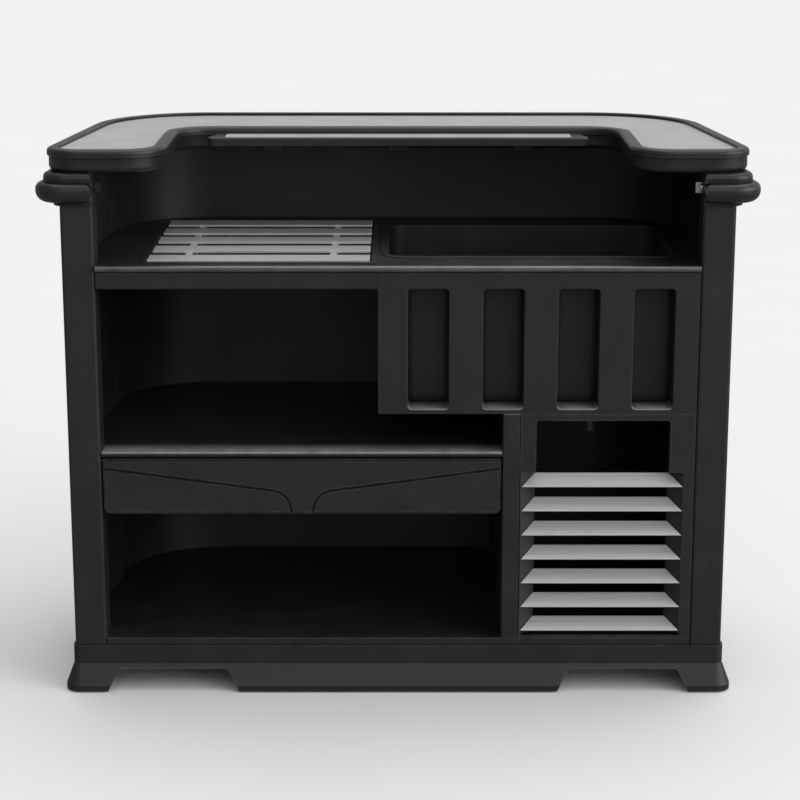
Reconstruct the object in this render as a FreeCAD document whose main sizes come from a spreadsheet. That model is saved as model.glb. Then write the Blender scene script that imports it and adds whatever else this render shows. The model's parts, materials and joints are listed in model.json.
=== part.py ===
import FreeCAD, Part
import math
import os
import types

import Sketcher

# A portable bar: a U-shaped counter over a service well, with bottle, glass and drawer storage below.
# Millimetres, +Z up. The operator stands on the -Y side and the customers on the +Y side.
# The origin is on the floor, under the middle of the whole outline.
# A depth is measured backwards, along +Y, from the operator's face of the posts.

SIZES = {
    # Body plan
    "body_half_width": 682,
    "body_depth": 640,
    "side_taper_share": 0.095,
    "corner_radius": 220,
    "panel_thick": 12,
    "customer_return": 230,
    # Heights, from the floor up to the lower deck and from the counter down to the drawer
    "pad_thick": 3,
    "base_height": 97,
    "lower_deck_thick": 15,
    "counter_height": 1147,
    "counter_thick": 46,
    "well_height": 237,
    "worktop_thick": 12,
    "niche_panel_height": 296,
    "shelf_drop": 81,
    "shelf_thick": 12,
    "drawer_height": 118,
    # Clearances and cutting
    "fit_gap": 0.3,
    "running_gap": 0.05,
    "overrun": 5,
    # Base ring and its cut-outs
    "base_flare": 22,
    "base_step": 5,
    "base_skirt_height": 57,
    "base_skirt_rise": 45,
    "base_wall": 48,
    "base_front_round": 10,
    "plinth_half_width": 334,
    "foot_width": 92,
    "cut_height": 46,
    "cut_slant": 25,
    "cut_round": 14,
    "rear_foot_width": 201,
    "rear_cut_width": 180,
    "side_cut_start": 130,
    "side_cut_end": 240,
    "pad_radius": 20,
    "plinth_pad_inset": 84,
    # Posts, panels and divider
    "post_width": 68,
    "post_depth": 60,
    "post_round": 7,
    "field_count": 3,
    "field_gap": 35,
    "field_end": 211,
    "field_rise": 90,
    "field_drop": 151,
    "field_depth": 6,
    "field_border": 26,
    "field_set": 1,
    "field_round": 24,
    "divider_offset": 216,
    "divider_thick": 37,
    "divider_stile": 40,
    "divider_web": 14,
    "divider_round": 4,
    # Worktop front
    "beam_depth": 36,
    "beam_height": 36,
    "beam_round": 5,
    "trim_out": 8,
    "trim_height": 13,
    "trim_rise": 2,
    "trim_round": 5,
    "nosing_round": 5,
    # Bottle niches
    "niche_left": 41,
    "niche_panel_depth": 90,
    "niche_count": 4,
    "niche_left_margin": 61.5,
    "niche_right_margin": 50,
    "niche_width": 83,
    "niche_sill": 11,
    "niche_head": 35,
    "niche_back": 15,
    "niche_round": 8,
    "niche_edge_round": 3,
    "niche_wall": 7,
    # Louvred cupboard
    "vent_depth": 40,
    "vent_left_margin": 2,
    "vent_right_margin": 22,
    "vent_sill": 6,
    "vent_head": 14,
    "vent_splay": 30,
    "vent_hand_height": 111,
    "vent_round": 6,
    "blade_count": 7,
    "blade_width": 36,
    "blade_thick": 2.5,
    "blade_tilt_angle": 40,
    "blade_set": 1,
    "blade_foot_room": 9,
    "blade_head_room": 32,
    # Counter
    "counter_overhang": 20,
    "wing_overhang": 12,
    "wing_spread": 16,
    "wing_width": 232,
    "counter_strip": 290,
    "wing_outer_round": 70,
    "wing_inner_round": 85,
    "notch_round": 70,
    "lip_height": 15,
    "band_inset": 4,
    "counter_top_round": 8,
    "counter_low_round": 10,
    "rim_width": 24,
    "rim_depth": 9,
    "surface_thick": 3,
    "ledge_end_gap": 60,
    "ledge_slant": 20,
    "ledge_depth": 76,
    "ledge_drop": 13,
    "ledge_thick": 18,
    "ledge_round": 12,
    "ledge_edge_round": 4,
    "ledge_rim": 10,
    "ledge_dish": 2,
    "strap_width": 40,
    "strap_thick": 4,
    "strap_reach": 55,
    "strap_inset": 140,
    # Cornice
    "cornice_out": 52,
    "cornice_return": 32,
    "cornice_front_round": 58,
    "torus_height": 40,
    "torus_top_round": 14,
    "torus_low_round": 22,
    "neck_out": 36,
    "neck_return": 17,
    "neck_front_round": 46,
    "neck_height": 20,
    "neck_round": 11,
    "bead_out": 14,
    "bead_return": 8,
    "bead_front_round": 24,
    "bead_height": 7,
    "bead_round": 3,
    # Counter brackets, their bolts and the counter locks
    "bracket_leg": 42,
    "bracket_thick": 4,
    "bracket_width": 30,
    "bracket_inset": 321,
    "post_bracket_inset": 4,
    "bolt_radius": 3,
    "bolt_gap": 0.2,
    "counter_bolt_reach": 18,
    "wall_bolt_reach": 9,
    "bolt_head_radius": 5.5,
    "bolt_head_height": 4,
    "lock_drop": 33,
    "lock_depth": 24,
    "lock_stem_radius": 4,
    "lock_stem_length": 30,
    "lock_disc_radius": 9,
    "lock_disc_thick": 5,
    "lock_grip_length": 22,
    "lock_grip_width": 6,
    "lock_grip_height": 9,
    # Ice bin
    "jacket_margin": 19,
    "jacket_rear_gap": 113,
    "jacket_wall": 18,
    "jacket_round": 56,
    "liner_wall": 3,
    "liner_flange": 12,
    "liner_flange_thick": 2.5,
    "liner_floor_round": 14,
    # Ice bin drain
    "drain_inset": 173,
    "drain_pipe_radius": 13,
    "drain_bore_radius": 9,
    "drain_flange_radius": 25,
    "drain_flange_thick": 3,
    "seal_thick": 3,
    "nut_height": 13,
    "nut_flat_radius": 20,
    "nut_side_count": 6,
    "valve_radius": 20,
    "valve_height": 62,
    "valve_socket": 14,
    "spigot_radius": 10,
    "spigot_bore_radius": 7,
    "spigot_length": 35,
    "boss_radius": 10,
    "boss_reach": 28,
    "lever_drop": 38,
    "lever_stem_radius": 4,
    "lever_stem_length": 12,
    "lever_hub_radius": 9,
    "lever_thick": 6,
    "lever_length": 62,
    "lever_width": 12,
    # Drip tray and grille
    "tray_margin": 94,
    "tray_bin_gap": 11,
    "tray_front": 45,
    "tray_rear_gap": 68,
    "tray_wall": 3,
    "tray_depth": 26,
    "tray_flange": 8,
    "tray_flange_thick": 2,
    "tray_round": 10,
    "grille_gap": 3,
    "slat_count": 5,
    "slat_width": 64,
    "slat_end_gap": 5.5,
    "slat_thick": 5,
    "slat_proud": 2,
    "grille_rail_width": 14,
    "grille_rail_inset": 70,
    # Drawer
    "drawer_gap": 3,
    "drawer_front_thick": 18,
    "drawer_low_round": 14,
    "drawer_top_round": 3,
    "relief_height": 3,
    "relief_margin": 4,
    "relief_groove": 5,
    "relief_round": 48,
    "funnel_edge_drop": 18,
    "funnel_throat_height": 48,
    "funnel_throat_half": 20,
    "box_side_room": 26,
    "box_rear_gap": 167,
    "box_wall": 10,
    "box_floor": 8,
    "box_rise": 10,
    "box_height": 88,
    "runner_height": 66,
    "runner_end_gap": 10,
    "groove_rise": 12,
    "groove_height": 18,
    "groove_depth": 10,
    "rail_depth": 9,
    "rail_start": 80,
    "rail_end_gap": 11,
    "drawer_screw_radius": 2.5,
    "drawer_screw_reach": 12,
    "drawer_screw_head_radius": 4.5,
    "drawer_screw_head_height": 3,
    "drawer_screw_margin": 59,
    "drawer_screw_count": 4,
}

PADS_AT_CORNER_SHARE = math.sqrt(0.5)
PICK_TOLERANCE = 0.01
AXIS_TURNS = {
    "x": FreeCAD.Rotation(FreeCAD.Vector(0, 1, 0), 90),
    "y": FreeCAD.Rotation(FreeCAD.Vector(1, 0, 0), -90),
    "z": FreeCAD.Rotation(),
}


class Size:
    """A number from the sheet, or one worked out from such numbers, with its formula."""

    def __init__(self, value, formula):
        self.value = value
        self.formula = formula

    def __add__(self, other):
        other = as_size(other)
        return Size(self.value + other.value, f"({self.formula} + {other.formula})")

    def __sub__(self, other):
        other = as_size(other)
        return Size(self.value - other.value, f"({self.formula} - {other.formula})")

    def __mul__(self, other):
        other = as_size(other)
        return Size(self.value * other.value, f"({self.formula} * {other.formula})")

    def __truediv__(self, other):
        other = as_size(other)
        return Size(self.value / other.value, f"({self.formula} / {other.formula})")

    def __radd__(self, other):
        return as_size(other) + self

    def __rsub__(self, other):
        return as_size(other) - self

    def __rmul__(self, other):
        return as_size(other) * self

    def __neg__(self):
        return Size(-self.value, f"(0 - {self.formula})")


def as_size(number):
    """The number as a Size, whether it is one already or a plain count."""
    return number if isinstance(number, Size) else Size(number, repr(number))


def cosine(angle):
    return Size(math.cos(math.radians(angle.value)), f"cos({angle.formula} * 1 deg)")


HALF_TURN_ANGLE = Size(180, "180")


def new_sheet():
    """The driving dimensions, one row each, with the name as the cell's alias."""
    sheet = doc.addObject("Spreadsheet::Sheet", "Sizes")
    for row, (name, number) in enumerate(SIZES.items(), 1):
        sheet.set(f"A{row}", name)
        sheet.set(f"B{row}", str(number))
        sheet.setAlias(f"B{row}", name)
    doc.recompute()


doc = FreeCAD.newDocument("PortableBar")
new_sheet()
s = types.SimpleNamespace(**{name: Size(number, f"Sizes.{name}") for name, number in SIZES.items()})
nodes = []

# Heights and plan lines that several pieces share
base_top = s.pad_thick + s.base_height
deck_top = base_top + s.lower_deck_thick
counter_low = s.counter_height - s.counter_thick
worktop_top = s.counter_height - s.well_height
worktop_low = worktop_top - s.worktop_thick
niche_low = worktop_low - s.niche_panel_height
shelf_top = niche_low - s.shelf_drop
shelf_low = shelf_top - s.shelf_thick
drawer_high = shelf_low - s.drawer_gap
drawer_low = drawer_high - s.drawer_height
box_low = drawer_low + s.box_rise
groove_low = shelf_low - s.runner_height + s.groove_rise
liner_low = niche_low + s.jacket_wall
valve_top = niche_low - s.seal_thick - s.nut_height - s.fit_gap
front = -(s.body_depth + s.cornice_out - s.cornice_return) / 2
back_wall = s.body_depth - s.panel_thick
panel_split = s.body_depth - s.customer_return
counter_notch = s.body_depth + s.counter_overhang - s.counter_strip
jacket_rear = back_wall - s.jacket_rear_gap
drain_depth = (s.niche_panel_depth + jacket_rear) / 2
tray_rear = back_wall - s.tray_rear_gap
box_near = s.relief_height + s.drawer_front_thick
box_far = back_wall - s.box_rear_gap
post_in = s.body_half_width - s.post_width
wing_in = s.body_half_width + s.counter_overhang - s.wing_width
rear_foot_in = s.body_half_width - s.side_taper_share * s.body_depth - s.rear_foot_width
rear_plinth_half = rear_foot_in - s.rear_cut_width
vent_left = s.divider_offset + s.divider_thick + s.fit_gap
vent_right = post_in - s.fit_gap
vent_low = deck_top + s.vent_sill
vent_high = niche_low - s.vent_head
vent_splay_height = vent_high - vent_low - s.vent_hand_height
blade_span = vent_right - s.vent_right_margin - vent_left - s.vent_left_margin
jacket_right = post_in - s.jacket_margin
drain_x = jacket_right - s.drain_inset
tray_left = s.tray_margin - post_in
tray_right = -s.niche_left - s.tray_bin_gap
box_left = s.box_side_room - post_in
box_right = s.divider_offset - s.box_side_room


def at(depth):
    """The Y of a place that lies depth behind the operator's face."""
    return front + depth


def half_width(depth, out=0):
    """Half the body's width at a depth, moved outwards by out."""
    return s.body_half_width + out - s.side_taper_share * depth


def bind(thing, name, size):
    thing.setExpression(name, as_size(size).formula)


def keep(thing, label=None):
    """Take a document object as a node of the part."""
    thing.Label = label or thing.Label
    nodes.append(thing)
    return thing


def sketch(body, plane, lift, corners):
    """A closed outline on one of the body's planes; a corner with a radius is rounded."""
    corners = [[as_size(size) for size in corner] for corner in corners]
    outline = body.newObject("Sketcher::SketchObject", "Outline")
    planes = {each.Role: each for each in body.Origin.OriginFeatures}
    outline.AttachmentSupport = [(planes[plane], "")]
    outline.MapMode = "FlatFace"
    # The XZ plane faces -Y, so its lift is the Y turned round.
    bind(outline, "AttachmentOffset.Base.z", -lift if plane == "XZ_Plane" else lift)
    spots = [FreeCAD.Vector(corner[0].value, corner[1].value, 0) for corner in corners]
    for spot, following in zip(spots, spots[1:] + spots[:1]):
        outline.addGeometry(Part.LineSegment(spot, following), False)
    for side, corner in enumerate(corners):
        outline.addConstraint(Sketcher.Constraint("Coincident", side, 2, (side + 1) % len(corners), 1))
        for kind, size in zip(("DistanceX", "DistanceY"), corner):
            hold(outline, size, kind, -1, 1, side, 1)
    for side, corner in enumerate(corners):
        if len(corner) > 2:
            arc = outline.GeometryCount
            outline.fillet(side, 1, corner[2].value, True, True)
            hold(outline, corner[2], "Radius", arc)
    return outline


def hold(outline, size, kind, *where):
    """Constrain a sketch to a size of the sheet."""
    held = outline.addConstraint(Sketcher.Constraint(kind, *where, size.value))
    bind(outline, f"Constraints[{held}]", size)


def lines(axis, places):
    """Picks straight edges along an axis that pass through any of the places across it."""
    across = [name for name in "xyz" if name != axis]
    marks = [[as_size(number).value for number in place] for place in places]

    def chosen(edge):
        ends = [edge.Vertexes[0].Point, edge.Vertexes[-1].Point]
        spots = [[getattr(end, name) for name in across] for end in ends]
        return any(all(math.dist(spot, mark) < PICK_TOLERANCE for spot in spots) for mark in marks)

    return chosen


def level(axis, size, wanted=lambda middle: True):
    """Picks edges that lie across an axis at a given place on it."""
    place = as_size(size).value

    def chosen(edge):
        start, end = edge.ParameterRange
        middle = edge.valueAt((start + end) / 2)
        spots = [vertex.Point for vertex in edge.Vertexes] + [middle]
        flat = all(abs(getattr(spot, axis) - place) < PICK_TOLERANCE for spot in spots)
        return flat and wanted(middle)

    return chosen


def rounded(body, radius, chosen):
    """Round the edges of the body's last feature that chosen picks."""
    doc.recompute()
    base = body.Tip
    names = [f"Edge{i}" for i, edge in enumerate(base.Shape.Edges, 1) if chosen(edge)]
    if not names:
        raise ValueError(f"{body.Label}: no edge to round")
    rounding = body.newObject("PartDesign::Fillet", "Rounding")
    rounding.Base = (base, names)
    bind(rounding, "Radius", radius)
    doc.recompute()


def add(body, plane, lift, corners, length):
    """Pad an outline from its plane: up from an XY plane, forwards from XZ and rightwards from YZ."""
    outline = sketch(body, plane, lift, corners)
    feature = body.newObject("PartDesign::Pad", "Pad")
    feature.Profile = outline
    bind(feature, "Length", length)
    doc.recompute()


def carve(body, plane, lift, corners, length):
    """Cut an outline into the body: down from an XY plane, backwards from XZ and leftwards from YZ."""
    before = body.Shape.Volume
    outline = sketch(body, plane, lift, corners)
    feature = body.newObject("PartDesign::Pocket", "Pocket")
    feature.Profile = outline
    bind(feature, "Length", length)
    doc.recompute()
    if body.Shape.Volume > before - PICK_TOLERANCE:
        raise ValueError(f"{body.Label}: a cut misses")


def prism(label, plane, lift, corners, length):
    body = doc.addObject("PartDesign::Body", label)
    add(body, plane, lift, corners, length)
    return body


def rectangle(low, high, *radius):
    """The corners of a rectangle from its two opposite corners."""
    return [(low[0], low[1], *radius), (high[0], low[1], *radius),
            (high[0], high[1], *radius), (low[0], high[1], *radius)]


def place(thing, x, y, z):
    for name, size in zip("xyz", (x, y, z)):
        bind(thing, f"Placement.Base.{name}", size)


def box(label, low, high):
    """A block between two opposite corners."""
    block = doc.addObject("Part::Box", label)
    for name, start, end in zip(("Length", "Width", "Height"), low, high):
        bind(block, name, end - start)
    place(block, *low)
    return block


def rod(label, start, radius, length, axis="z"):
    """A round bar that starts at a place and runs along an axis."""
    bar = doc.addObject("Part::Cylinder", label)
    bar.Placement = FreeCAD.Placement(FreeCAD.Vector(), AXIS_TURNS[axis])
    bind(bar, "Radius", radius)
    bind(bar, "Height", length)
    place(bar, *start)
    return bar


def group(label, pieces):
    gathered = doc.addObject("Part::Compound", label)
    gathered.Links = pieces
    return gathered


def cut(label, base, tools):
    result = doc.addObject("Part::Cut", label)
    result.Base = base
    result.Tool = tools[0] if len(tools) == 1 else group(f"{label}_cuts", tools)
    return result


def fuse(label, pieces):
    joined = doc.addObject("Part::MultiFuse", label)
    joined.Shapes = pieces
    joined.Refine = True
    return joined


def mirrored(corners, side):
    """The corners on the right (side 1) or the left (side -1) of the middle plane."""
    return [(side * corner[0], *corner[1:]) for corner in corners]


def deck_side():
    """The right half of the plan inside the panels, notched round the post."""
    behind = s.post_depth + s.fit_gap
    rear = back_wall - s.fit_gap
    inside = -s.panel_thick - s.fit_gap
    return [
        (post_in - s.fit_gap, at(0)),
        (post_in - s.fit_gap, at(behind)),
        (half_width(behind, inside), at(behind)),
        (half_width(rear, inside), at(rear), s.corner_radius + inside),
    ]


def both_sides(right):
    """A closed plan from the corners of its right half."""
    return right + mirrored(right[::-1], -1)


def base_corners(out):
    """The base's plan, moved outwards from the body by out."""
    right = [
        (half_width(-out, out), at(-out), s.base_front_round + out),
        (half_width(s.body_depth, out), at(s.body_depth + out), s.corner_radius + out),
    ]
    return both_sides(right)


def make_base():
    """A ring with a flared skirt, feet at its corners and a plinth in the middle of each long side."""
    flare = s.base_flare
    body = prism("base_plinth", "XY_Plane", s.pad_thick, base_corners(flare), s.base_skirt_height)
    block = body.Tip
    skirt_top = s.pad_thick + s.base_skirt_height
    rim = [f"Edge{i}" for i, edge in enumerate(block.Shape.Edges, 1) if level("z", skirt_top)(edge)]
    skirt = body.newObject("PartDesign::Chamfer", "Skirt")
    skirt.Base = (block, rim)
    skirt.ChamferType = "Two distances"
    skirt.FlipDirection = True
    bind(skirt, "Size", flare - s.base_step)
    bind(skirt, "Size2", s.base_skirt_rise)
    add(body, "XY_Plane", skirt_top, base_corners(s.base_step), base_top - skirt_top)
    wall = s.base_wall
    hollow = [
        (half_width(wall, -wall), at(wall), s.cut_round),
        (half_width(s.body_depth - wall, -wall), at(s.body_depth - wall), s.corner_radius - wall),
    ]
    carve(body, "XY_Plane", base_top, both_sides(hollow), s.base_height + s.overrun)
    top = s.pad_thick + s.cut_height
    foot_in = half_width(-flare, flare) - s.foot_width
    through = flare + wall + s.overrun
    for side in (-1, 1):
        gap = opening(s.plinth_half_width, foot_in, top)
        carve(body, "XZ_Plane", at(-flare), mirrored(gap, side), through)
        gap = opening(rear_plinth_half, rear_foot_in, top)
        carve(body, "XZ_Plane", at(s.body_depth - wall - s.overrun), mirrored(gap, side), through)
    gap = opening(at(s.side_cut_start), at(s.body_depth - s.side_cut_end), top)
    reach = s.body_half_width + flare + s.overrun
    carve(body, "YZ_Plane", reach, gap, reach * 2)
    keep(body)


def opening(start, end, top):
    """A cut-out that stands on the floor and narrows upwards, with rounded top corners."""
    return [(start, 0), (end, 0),
            (end - s.cut_slant, top, s.cut_round), (start + s.cut_slant, top, s.cut_round)]


def make_foot_pads():
    """Discs under the feet and the plinths."""
    middle = s.base_wall / 2
    corner_run = (s.corner_radius - middle) * PADS_AT_CORNER_SHARE - s.corner_radius
    rear = s.body_depth + corner_run
    places = [
        (half_width(middle, -middle), at(middle)),
        (s.plinth_half_width - s.plinth_pad_inset, at(middle)),
        (half_width(s.body_depth) + corner_run, at(rear)),
        (rear_plinth_half - middle * 2, at(s.body_depth - middle)),
    ]
    pads = [rod("foot_pad", (side * x, y, 0), s.pad_radius, s.pad_thick)
            for side in (-1, 1) for x, y in places]
    keep(group("foot_pads", pads))


def make_panels():
    """The two sides, and the customer panel that wraps both rear corners."""
    split = panel_split
    height = counter_low - base_top
    for name, side in (("left", -1), ("right", 1)):
        plan = [
            (half_width(s.post_depth), at(s.post_depth)),
            (half_width(split), at(split)),
            (half_width(split, -s.panel_thick), at(split)),
            (half_width(s.post_depth, -s.panel_thick), at(s.post_depth)),
        ]
        keep(prism(f"{name}_side_panel", "XY_Plane", base_top, mirrored(plan, side), height))
    outer = [
        (half_width(split), at(split)),
        (half_width(s.body_depth), at(s.body_depth), s.corner_radius),
    ]
    inner = [
        (half_width(back_wall, -s.panel_thick), at(back_wall), s.corner_radius - s.panel_thick),
        (half_width(split, -s.panel_thick), at(split)),
    ]
    plan = both_sides(outer) + mirrored(inner[::-1], -1) + inner
    body = prism("customer_shell", "XY_Plane", base_top, plan, height)
    half = half_width(s.body_depth) - s.field_end
    pitch = (half * 2 + s.field_gap) / s.field_count
    low = base_top + s.field_rise
    high = counter_low - s.field_drop
    border = s.field_border
    for step in range(SIZES["field_count"]):
        left = pitch * step - half
        right = left + pitch - s.field_gap
        field = rectangle((left, low), (right, high), s.field_round)
        carve(body, "XZ_Plane", at(s.body_depth - s.field_depth), field, s.field_depth + s.overrun)
        raised = rectangle((left + border, low + border), (right - border, high - border))
        add(body, "XZ_Plane", at(s.body_depth - s.field_set), raised, s.field_depth)
    keep(cut("customer_panel", body, [bolt_hole(*spot) for spot in rear_bolts()]))


def make_posts():
    """Two posts with rounded edges, each bored for a counter lock and a bracket bolt."""
    for name, side in (("left", -1), ("right", 1)):
        plan = [
            (half_width(0), at(0), s.post_round),
            (post_in, at(0), s.post_round),
            (post_in, at(s.post_depth)),
            (half_width(s.post_depth), at(s.post_depth)),
        ]
        height = counter_low - base_top
        body = prism(f"{name}_post_blank", "XY_Plane", base_top, mirrored(plan, side), height)
        stem = s.lock_stem_length + s.overrun
        start = post_in if side > 0 else -post_in - stem
        bore = rod("lock_bore", (start, at(s.lock_depth), counter_low - s.lock_drop),
                   s.lock_stem_radius + s.running_gap, stem, "x")
        keep(cut(f"{name}_post", body, [bore, bolt_hole(*post_bolt(side))]))


def make_divider():
    """A web with a wider stile at the operator's edge."""
    left = s.divider_offset
    right = left + s.divider_thick
    web = left + s.divider_web
    rear = at(back_wall - s.fit_gap)
    plan = [
        (left, at(0), s.divider_round),
        (right, at(0), s.divider_round),
        (right, at(s.divider_stile)),
        (web, at(s.divider_stile)),
        (web, rear),
        (left, rear),
    ]
    keep(prism("divider_panel", "XY_Plane", deck_top, plan, niche_low - deck_top))


def make_decks():
    """The lower deck, and the worktop with its openings for the ice bin and the drip tray."""
    plan = both_sides(deck_side())
    keep(prism("lower_deck", "XY_Plane", base_top, plan, s.lower_deck_thick))
    worktop = prism("worktop_deck", "XY_Plane", worktop_low, plan, s.worktop_thick)
    for hole in (liner_corners(-s.fit_gap), tray_corners(-s.fit_gap)):
        carve(worktop, "XY_Plane", worktop_top, hole, s.worktop_thick + s.overrun)
    keep(worktop)


def make_worktop_front():
    """The beam under the worktop, and the light strip along its edge."""
    profile = rectangle((at(0), worktop_low - s.beam_height), (at(s.beam_depth), worktop_low))
    profile[0] += (s.beam_round,)
    length = post_in - s.niche_left - s.fit_gap * 2
    keep(prism("front_beam", "YZ_Plane", s.fit_gap - post_in, profile, length))
    top = worktop_top + s.trim_rise
    profile = rectangle((at(-s.trim_out), top - s.trim_height), (at(0), top))
    profile[0] += (s.trim_round,)
    profile[3] += (s.trim_round,)
    keep(prism("worktop_edge_trim", "YZ_Plane", s.fit_gap - post_in, profile, (post_in - s.fit_gap) * 2))


def make_bottle_shelf():
    """A shelf from the left panel to the divider, with a rounded nosing."""
    right = s.divider_offset - s.fit_gap
    plan = [(right, at(0)), (right, at(back_wall - s.fit_gap))] + mirrored(deck_side()[::-1], -1)
    body = prism("bottle_shelf", "XY_Plane", shelf_low, plan, s.shelf_thick)
    rounded(body, s.nosing_round, lines("x", [(at(0), shelf_top), (at(0), shelf_low)]))
    keep(body)


def make_niche_panel():
    """A deep panel with a row of upright niches, one bottle each, hollow between them at the back."""
    left = -s.niche_left
    right = post_in - s.fit_gap
    face = rectangle((left, niche_low), (right, worktop_low))
    body = prism("bottle_niche_panel", "XZ_Plane", at(s.niche_panel_depth), face, s.niche_panel_depth)
    sill = niche_low + s.niche_sill
    head = worktop_low - s.niche_head
    first = left + s.niche_left_margin
    last = right - s.niche_right_margin - s.niche_width
    pitch = (last - first) / (s.niche_count - 1)
    for step in range(SIZES["niche_count"]):
        start = first + pitch * step
        mouth = rectangle((start, sill), (start + s.niche_width, head), s.niche_round)
        carve(body, "XZ_Plane", at(0), mouth, s.niche_panel_depth - s.niche_back)
    wall = s.niche_wall
    for step in range(SIZES["niche_count"] - 1):
        near = first + pitch * step + s.niche_width + wall
        far = first + pitch * (step + 1) - wall
        hollow = rectangle((near, niche_low + wall), (far, worktop_low - wall))
        carve(body, "XZ_Plane", at(wall), hollow, s.niche_panel_depth)

    def inside(middle):
        return (left.value + PICK_TOLERANCE < middle.x < right.value - PICK_TOLERANCE
                and niche_low.value + PICK_TOLERANCE < middle.z < worktop_low.value - PICK_TOLERANCE)

    rounded(body, s.niche_edge_round, level("y", at(0), inside))
    keep(body)


def make_vent_frame():
    """The cupboard's frame: one opening, splayed where the louvres are and plain above them."""
    face = rectangle((vent_left, deck_top), (vent_right, niche_low - s.fit_gap))
    body = prism("vent_frame", "XZ_Plane", at(s.vent_depth), face, s.vent_depth)
    left = vent_left + s.vent_left_margin
    right = left + blade_span
    mouth = rectangle((left + s.vent_splay, vent_low), (right - s.vent_splay, vent_high))
    mouth[2] += (s.vent_round,)
    mouth[3] += (s.vent_round,)
    carve(body, "XZ_Plane", at(0), mouth, s.vent_depth + s.overrun)
    splay = [(left, at(0)), (right, at(0)), (right - s.vent_splay, at(s.vent_splay)),
             (left + s.vent_splay, at(s.vent_splay))]
    carve(body, "XY_Plane", vent_low + vent_splay_height, splay, vent_splay_height)
    keep(body)


def make_louvres():
    """Sloping blades with mitred ends that lie against the splayed cheeks."""
    middle = vent_left + s.vent_left_margin + blade_span / 2
    wide = blade_span / 2 - s.blade_set - s.fit_gap
    narrow = wide - s.blade_width * cosine(s.blade_tilt_angle)
    plan = [(-wide, 0), (wide, 0), (narrow, s.blade_width), (-narrow, s.blade_width)]
    tilt = FreeCAD.Rotation(FreeCAD.Vector(1, 0, 0), s.blade_tilt_angle.value)
    room = vent_splay_height - s.blade_foot_room - s.blade_head_room
    pitch = room / (s.blade_count - 1)
    for step in range(SIZES["blade_count"]):
        blade = prism(f"louvre_blade_{step + 1}", "XY_Plane", 0, plan, s.blade_thick)
        blade.Placement = FreeCAD.Placement(FreeCAD.Vector(), tilt)
        bind(blade, "Placement.Rotation.Angle", s.blade_tilt_angle)
        place(blade, middle, at(s.blade_set), vent_low + s.blade_foot_room + pitch * step)
        keep(blade)


def counter_corners(inset):
    """The counter's plan, drawn in by inset all round."""
    out = s.counter_overhang - inset
    tip = at(inset - s.wing_overhang)
    rear = s.body_depth + s.counter_overhang
    inner = wing_in + inset
    right = [
        (inner, at(counter_notch + inset), s.notch_round + inset),
        (inner, tip, s.wing_inner_round - inset),
        (half_width(-s.wing_overhang, out + s.wing_spread), tip, s.wing_outer_round - inset),
        (half_width(rear, out), at(rear - inset), s.corner_radius + out),
    ]
    return both_sides(right)


def make_counter():
    """The slab, its lip over a band that is set back, and the light surface let into it."""
    lip_low = s.counter_height - s.lip_height
    band = counter_corners(s.band_inset)
    slab = prism("counter_slab", "XY_Plane", counter_low, band, lip_low - counter_low)
    add(slab, "XY_Plane", lip_low, counter_corners(0), s.lip_height)
    rounded(slab, s.counter_top_round, level("z", s.counter_height))
    rounded(slab, s.counter_low_round, level("z", counter_low))
    floor = s.counter_height - s.rim_depth
    mouth = counter_corners(s.rim_width)
    recess = prism("counter_recess", "XY_Plane", floor, mouth, s.rim_depth + s.overrun)
    holes = [bolt_hole(*spot) for spot in lifting_bolts()]
    keep(cut("counter_top", slab, [recess] + holes))
    inlay = counter_corners(s.rim_width + s.fit_gap)
    keep(prism("counter_surface", "XY_Plane", floor, inlay, s.surface_thick))


def make_service_ledge():
    """A lower shelf along the counter's inner edge, its light surface and the straps that carry it."""
    top = s.counter_height - s.ledge_drop
    near = counter_notch - s.ledge_depth
    half = wing_in - s.ledge_end_gap
    back = at(counter_notch)
    plan = [(-half, at(near), s.ledge_round), (half, at(near), s.ledge_round),
            (half - s.ledge_slant, back), (s.ledge_slant - half, back)]
    under = top - s.ledge_thick
    body = prism("service_ledge", "XY_Plane", under, plan, s.ledge_thick)
    free_edges = level("z", top, lambda middle: middle.y < back.value - PICK_TOLERANCE)
    rounded(body, s.ledge_edge_round, free_edges)
    rim = s.ledge_rim
    dish_half = half - s.ledge_slant - rim * 2
    dish_round = s.ledge_round - s.ledge_edge_round

    def dish(gap):
        return rectangle((gap - dish_half, at(near + rim + gap)), (dish_half - gap, back - rim - gap),
                         dish_round - gap)

    carve(body, "XY_Plane", top, dish(0), s.ledge_dish)
    keep(body)
    keep(prism("ledge_surface", "XY_Plane", top - s.ledge_dish, dish(s.fit_gap), s.ledge_dish))
    thick = s.strap_thick
    tip = back - s.strap_reach
    heel = back + s.counter_low_round + s.strap_reach
    profile = [
        (tip, under), (tip, under - thick), (back - thick, under - thick),
        (back - thick, counter_low - thick), (heel, counter_low - thick), (heel, counter_low),
        (back, counter_low), (back, under),
    ]
    starts = [(half - s.strap_inset) * step - s.strap_width / 2 for step in (-1, 0, 1)]
    straps = [prism("ledge_strap", "YZ_Plane", start, profile, s.strap_width) for start in starts]
    keep(group("ledge_straps", straps))


def ring(label, reach, low, height):
    """One member of the cornice: a band round the sides and the back that returns across both posts.

    Its reach is how far it stands out from the sides and from the posts, and the radius between.
    """
    out, forward, corner = reach
    near = at(-forward)
    gap = s.fit_gap
    outer = [
        (post_in, near),
        (half_width(-forward, out), near, corner),
        (half_width(s.body_depth + out, out), at(s.body_depth + out), s.corner_radius + out),
    ]
    inner = [
        (half_width(s.body_depth, gap), at(s.body_depth + gap), s.corner_radius + gap),
        (half_width(0, gap), at(-gap)),
        (post_in, at(-gap)),
    ]
    plan = both_sides(outer) + mirrored(inner[::-1], -1) + inner
    return prism(label, "XY_Plane", low, plan, height)


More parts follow.
